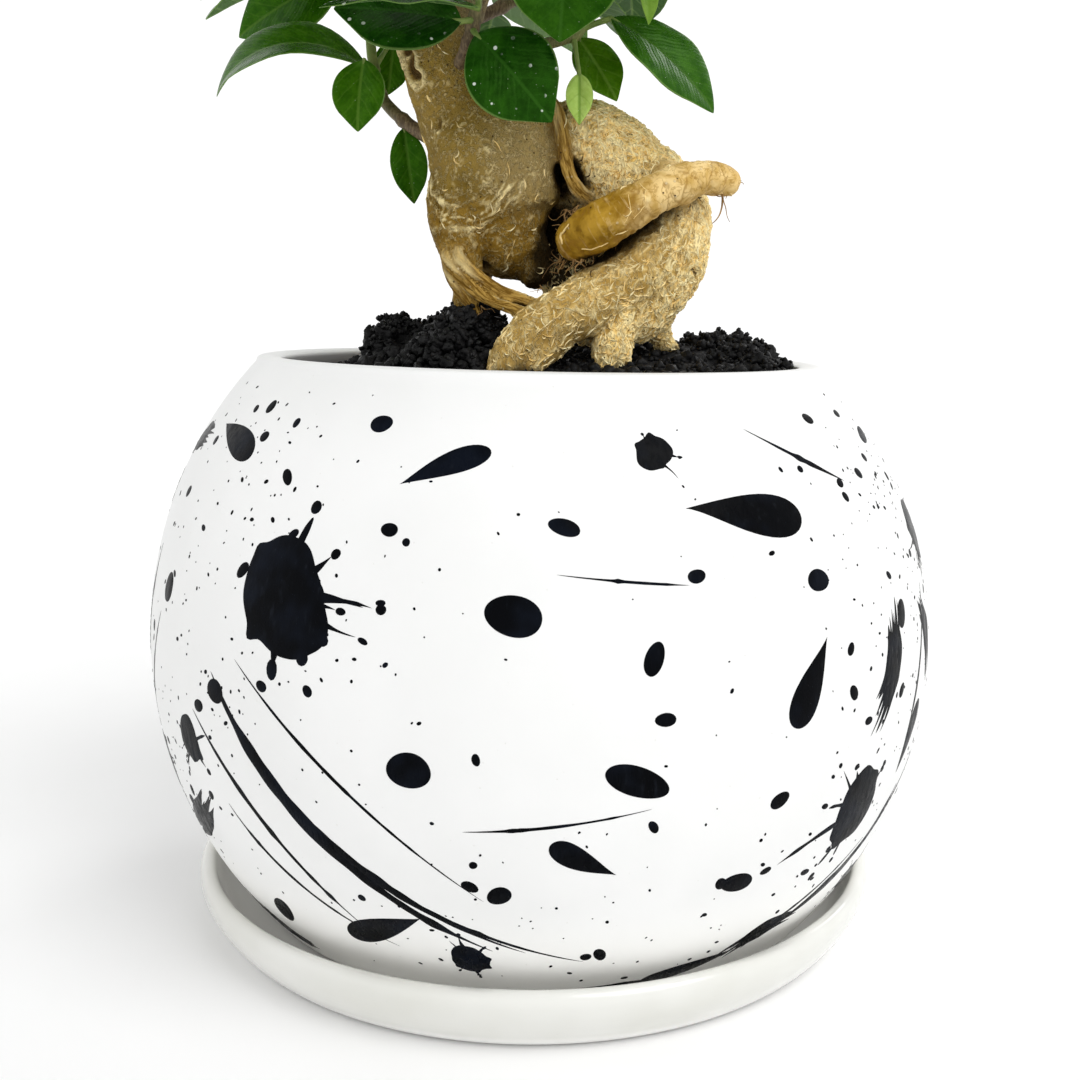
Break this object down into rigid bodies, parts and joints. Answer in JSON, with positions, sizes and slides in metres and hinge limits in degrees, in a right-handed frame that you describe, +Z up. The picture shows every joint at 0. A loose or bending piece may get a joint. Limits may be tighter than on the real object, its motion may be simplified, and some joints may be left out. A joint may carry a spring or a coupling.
{
  "type": "potted ginseng ficus",
  "caption": "Small ginseng ficus with a swollen, fused root trunk and glossy oval leaves, in a ball-shaped white ceramic pot on a shallow saucer.",
  "frame": {"origin": "middle of the floor under the saucer, on the pot's axis", "axes": "+Z up along the pot's axis; the show side with the crossing root faces -Y"},
  "size_m": [0.18, 0.18, 0.2911],
  "materials": {
    "white_glaze": "gloss white glaze",
    "white_ceramic": "satin white with black ink splatter",
    "black_soil": "black crumbly potting soil",
    "tan_bark": "smooth tan bark with pale raised fibres",
    "leaf_green": "glossy green leaf"
  },
  "bodies": {
    "root": {"saucer": "white_glaze", "pot": "white_ceramic", "soil": "black_soil", "trunk": "tan_bark", "shoot_left_low": "leaf_green", "shoot_front": "leaf_green", "shoot_right_low": "leaf_green", "shoot_front_left": "leaf_green", "shoot_front_right": "leaf_green", "shoot_right": "leaf_green", "shoot_top_right": "leaf_green", "shoot_top": "leaf_green", "shoot_left": "leaf_green", "shoot_back_left": "leaf_green", "shoot_back": "leaf_green", "shoot_back_right": "leaf_green"}
  },
  "joints": []
}
